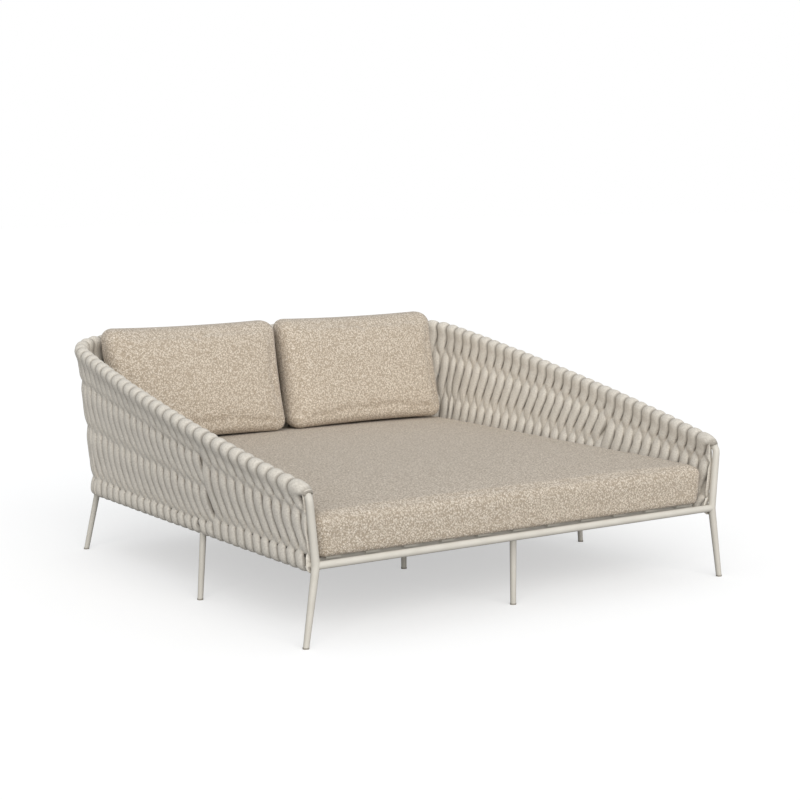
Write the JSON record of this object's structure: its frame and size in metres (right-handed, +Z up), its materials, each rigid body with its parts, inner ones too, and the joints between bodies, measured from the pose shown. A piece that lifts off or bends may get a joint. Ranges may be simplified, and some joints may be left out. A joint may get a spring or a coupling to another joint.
{
  "type": "double daybed",
  "caption": "Outdoor daybed for two: tube frame on splayed legs, sloping arms and back wound with flat padded straps, thick mattress and loose back cushions.",
  "frame": {"origin": "on the floor under the middle of the whole daybed's bounding box", "axes": "+X to the right as seen from the open front, -Y out of the open front and +Y towards the back, +Z up"},
  "size_m": [2.0526, 2.1441, 0.9778],
  "materials": {
    "frame_paint": "fine matte powder coat, warm off-white",
    "strap_textile": "soft flat padded strap with a fine woven face, light warm grey",
    "cushion_fabric": "nubbly two-tone boucle weave, beige",
    "foam": "open-cell upholstery foam",
    "glide_plastic": "dark matte moulded plastic"
  },
  "bodies": {
    "frame": {"front_rail": "frame_paint", "left_side_rail": "frame_paint", "right_side_rail": "frame_paint", "back_rail": "frame_paint", "left_front_post": "frame_paint", "right_front_post": "frame_paint", "left_top_rail": "frame_paint", "right_top_rail": "frame_paint", "back_top_rail": "frame_paint", "left_front_leg": "frame_paint", "right_front_leg": "frame_paint", "left_middle_leg": "frame_paint", "right_middle_leg": "frame_paint", "left_back_leg": "frame_paint", "right_back_leg": "frame_paint", "front_centre_leg": "frame_paint", "middle_centre_leg": "frame_paint", "rear_centre_leg": "frame_paint", "leg_glides": "glide_plastic", "front_cross_beam": "frame_paint", "middle_cross_beam": "frame_paint", "rear_cross_beam": "frame_paint", "deck_slats": "frame_paint", "left_side_straps": "strap_textile", "right_side_straps": "strap_textile", "left_corner_straps": "strap_textile", "right_corner_straps": "strap_textile", "back_straps": "strap_textile"},
    "mattress": {"mattress_cover": "cushion_fabric", "mattress_core": "foam"},
    "left_cushion": {"left_cushion_cover": "cushion_fabric", "left_cushion_core": "foam"},
    "right_cushion": {"right_cushion_cover": "cushion_fabric", "right_cushion_core": "foam"}
  },
  "joints": [
    {"name": "mattress_lift", "type": "slide", "parent": "frame", "child": "mattress", "axis": [0, 0, 1], "range_m": [0, 0.65]},
    {"name": "left_cushion_lift", "type": "slide", "parent": "mattress", "child": "left_cushion", "axis": [0, -0.342, 0.9397], "range_m": [0, 0.5]},
    {"name": "right_cushion_lift", "type": "slide", "parent": "mattress", "child": "right_cushion", "axis": [0, -0.342, 0.9397], "range_m": [0, 0.5]}
  ]
}
